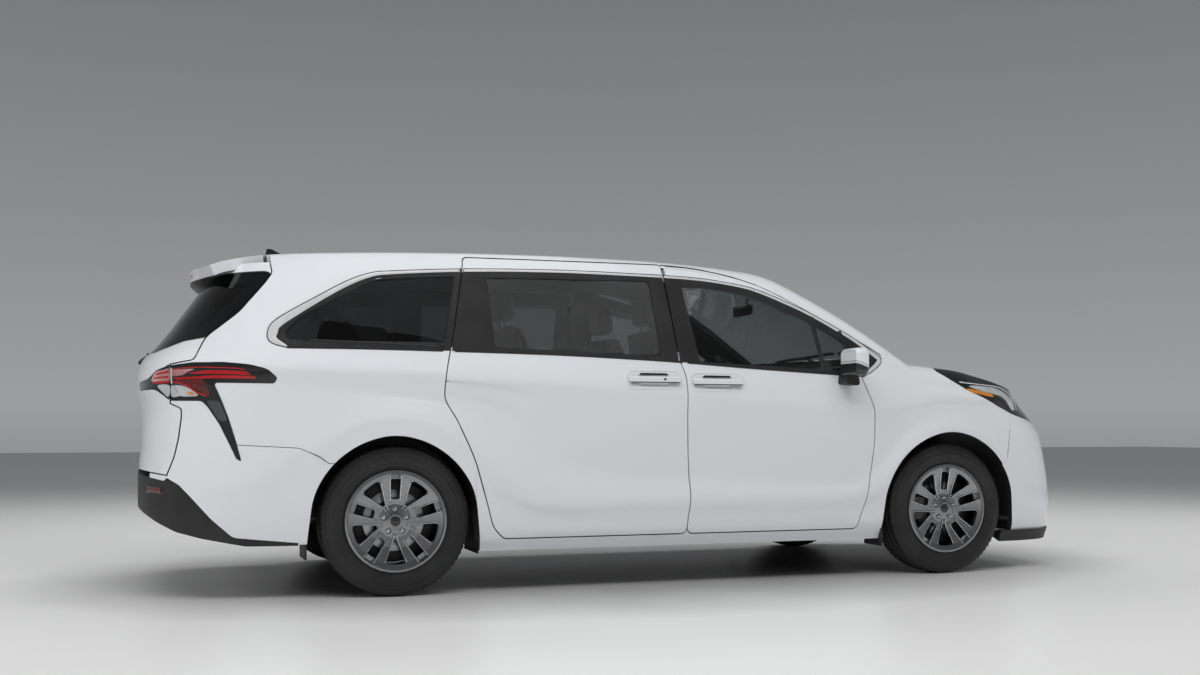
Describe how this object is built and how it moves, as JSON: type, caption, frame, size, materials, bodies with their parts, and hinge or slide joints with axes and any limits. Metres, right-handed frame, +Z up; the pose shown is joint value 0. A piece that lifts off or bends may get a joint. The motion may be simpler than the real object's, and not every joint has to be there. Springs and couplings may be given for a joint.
{
  "type": "minivan",
  "caption": "Family minivan with hinged front doors, sliding rear doors, lifting tailgate and hood, steered front wheels and glazed cabin.",
  "frame": {"origin": "on the floor, below the middle of the overall length and width", "axes": "+X to the front of the car, +Y to its left side, +Z up"},
  "size_m": [5.1575, 2.344, 1.7578],
  "materials": {
    "paint": "gloss pearl white",
    "tinted_glass": "dark tint",
    "tyre": "matt",
    "alloy": "satin",
    "seat_cloth": "woven",
    "black_plastic": "grained",
    "lamp": "clear over red",
    "cast_iron": "cast",
    "engine": "cast",
    "steel": "black"
  },
  "bodies": {
    "body": {"antenna": "black_plastic", "cowl": "black_plastic", "dashboard": "black_plastic", "engine_block": "engine", "exhaust": "steel", "floor_pan": "paint", "front_bumper": "paint", "front_fenders": "paint", "front_grille": "black_plastic", "front_lip": "black_plastic", "front_seats": "seat_cloth", "front_subframe": "steel", "headlamps": "lamp", "middle_seats": "seat_cloth", "mudflaps": "black_plastic", "quarter_glass": "tinted_glass", "rear_axle": "steel", "rear_bench": "seat_cloth", "rear_bumper": "paint", "rear_quarters": "paint", "rear_valance": "black_plastic", "roof_panel": "paint", "side_frames": "paint", "sliding_door_glass": "tinted_glass", "sliding_door_left": "paint", "sliding_door_right": "paint", "steering_wheel": "black_plastic", "tail_lamps": "lamp", "wheel_liners": "black_plastic", "windscreen": "tinted_glass"},
    "door_right": {"front_door_right": "paint", "front_glass_right": "tinted_glass", "mirror_right": "paint", "mirror_foot_right": "black_plastic"},
    "door_left": {"front_door_left": "paint", "front_glass_left": "tinted_glass", "mirror_left": "paint", "mirror_foot_left": "black_plastic"},
    "hood": {"hood": "paint"},
    "tailgate": {"tailgate": "paint", "tailgate_glass": "tinted_glass", "tailgate_lamps": "lamp"},
    "steer_right": {"knuckle_right": "cast_iron"},
    "steer_left": {"knuckle_left": "cast_iron"},
    "wheel_front_right": {"rim_front_right": "alloy", "tyre_front_right": "tyre"},
    "wheel_front_left": {"rim_front_left": "alloy", "tyre_front_left": "tyre"},
    "wheel_rear_right": {"rim_rear_right": "alloy", "tyre_rear_right": "tyre"},
    "wheel_rear_left": {"rim_rear_left": "alloy", "tyre_rear_left": "tyre"}
  },
  "joints": [
    {"name": "front_door_right", "type": "hinge", "parent": "body", "child": "door_right", "pos_m": [1.1375, -0.975, 0.7], "axis": [0, 0, 1], "range_deg": [0, 65]},
    {"name": "front_door_left", "type": "hinge", "parent": "body", "child": "door_left", "pos_m": [1.1375, 0.975, 0.7], "axis": [0, 0, -1], "range_deg": [0, 65]},
    {"name": "hood_lift", "type": "hinge", "parent": "body", "child": "hood", "pos_m": [1.4625, 0, 1.212], "axis": [0, -1, 0], "range_deg": [0, 55]},
    {"name": "tailgate_lift", "type": "hinge", "parent": "body", "child": "tailgate", "pos_m": [-1.9655, 0, 1.664], "axis": [0, 1, 0], "range_deg": [0, 85]},
    {"name": "steer_right", "type": "hinge", "parent": "body", "child": "steer_right", "pos_m": [1.6475, -0.83, 0.36], "axis": [0, 0, 1], "range_deg": [-35, 35]},
    {"name": "steer_left", "type": "hinge", "parent": "body", "child": "steer_left", "pos_m": [1.6475, 0.83, 0.36], "axis": [0, 0, 1], "range_deg": [-35, 35]},
    {"name": "spin_front_right", "type": "hinge", "parent": "steer_right", "child": "wheel_front_right", "pos_m": [1.6475, -0.86, 0.36], "axis": [0, 1, 0], "continuous": true},
    {"name": "spin_front_left", "type": "hinge", "parent": "steer_left", "child": "wheel_front_left", "pos_m": [1.6475, 0.86, 0.36], "axis": [0, 1, 0], "continuous": true},
    {"name": "spin_rear_right", "type": "hinge", "parent": "body", "child": "wheel_rear_right", "pos_m": [-1.4125, -0.86, 0.36], "axis": [0, 1, 0], "continuous": true},
    {"name": "spin_rear_left", "type": "hinge", "parent": "body", "child": "wheel_rear_left", "pos_m": [-1.4125, 0.86, 0.36], "axis": [0, 1, 0], "continuous": true}
  ],
  "couplings": [
    {"joint": "steer_left", "follows": "steer_right", "ratio": 1}
  ]
}
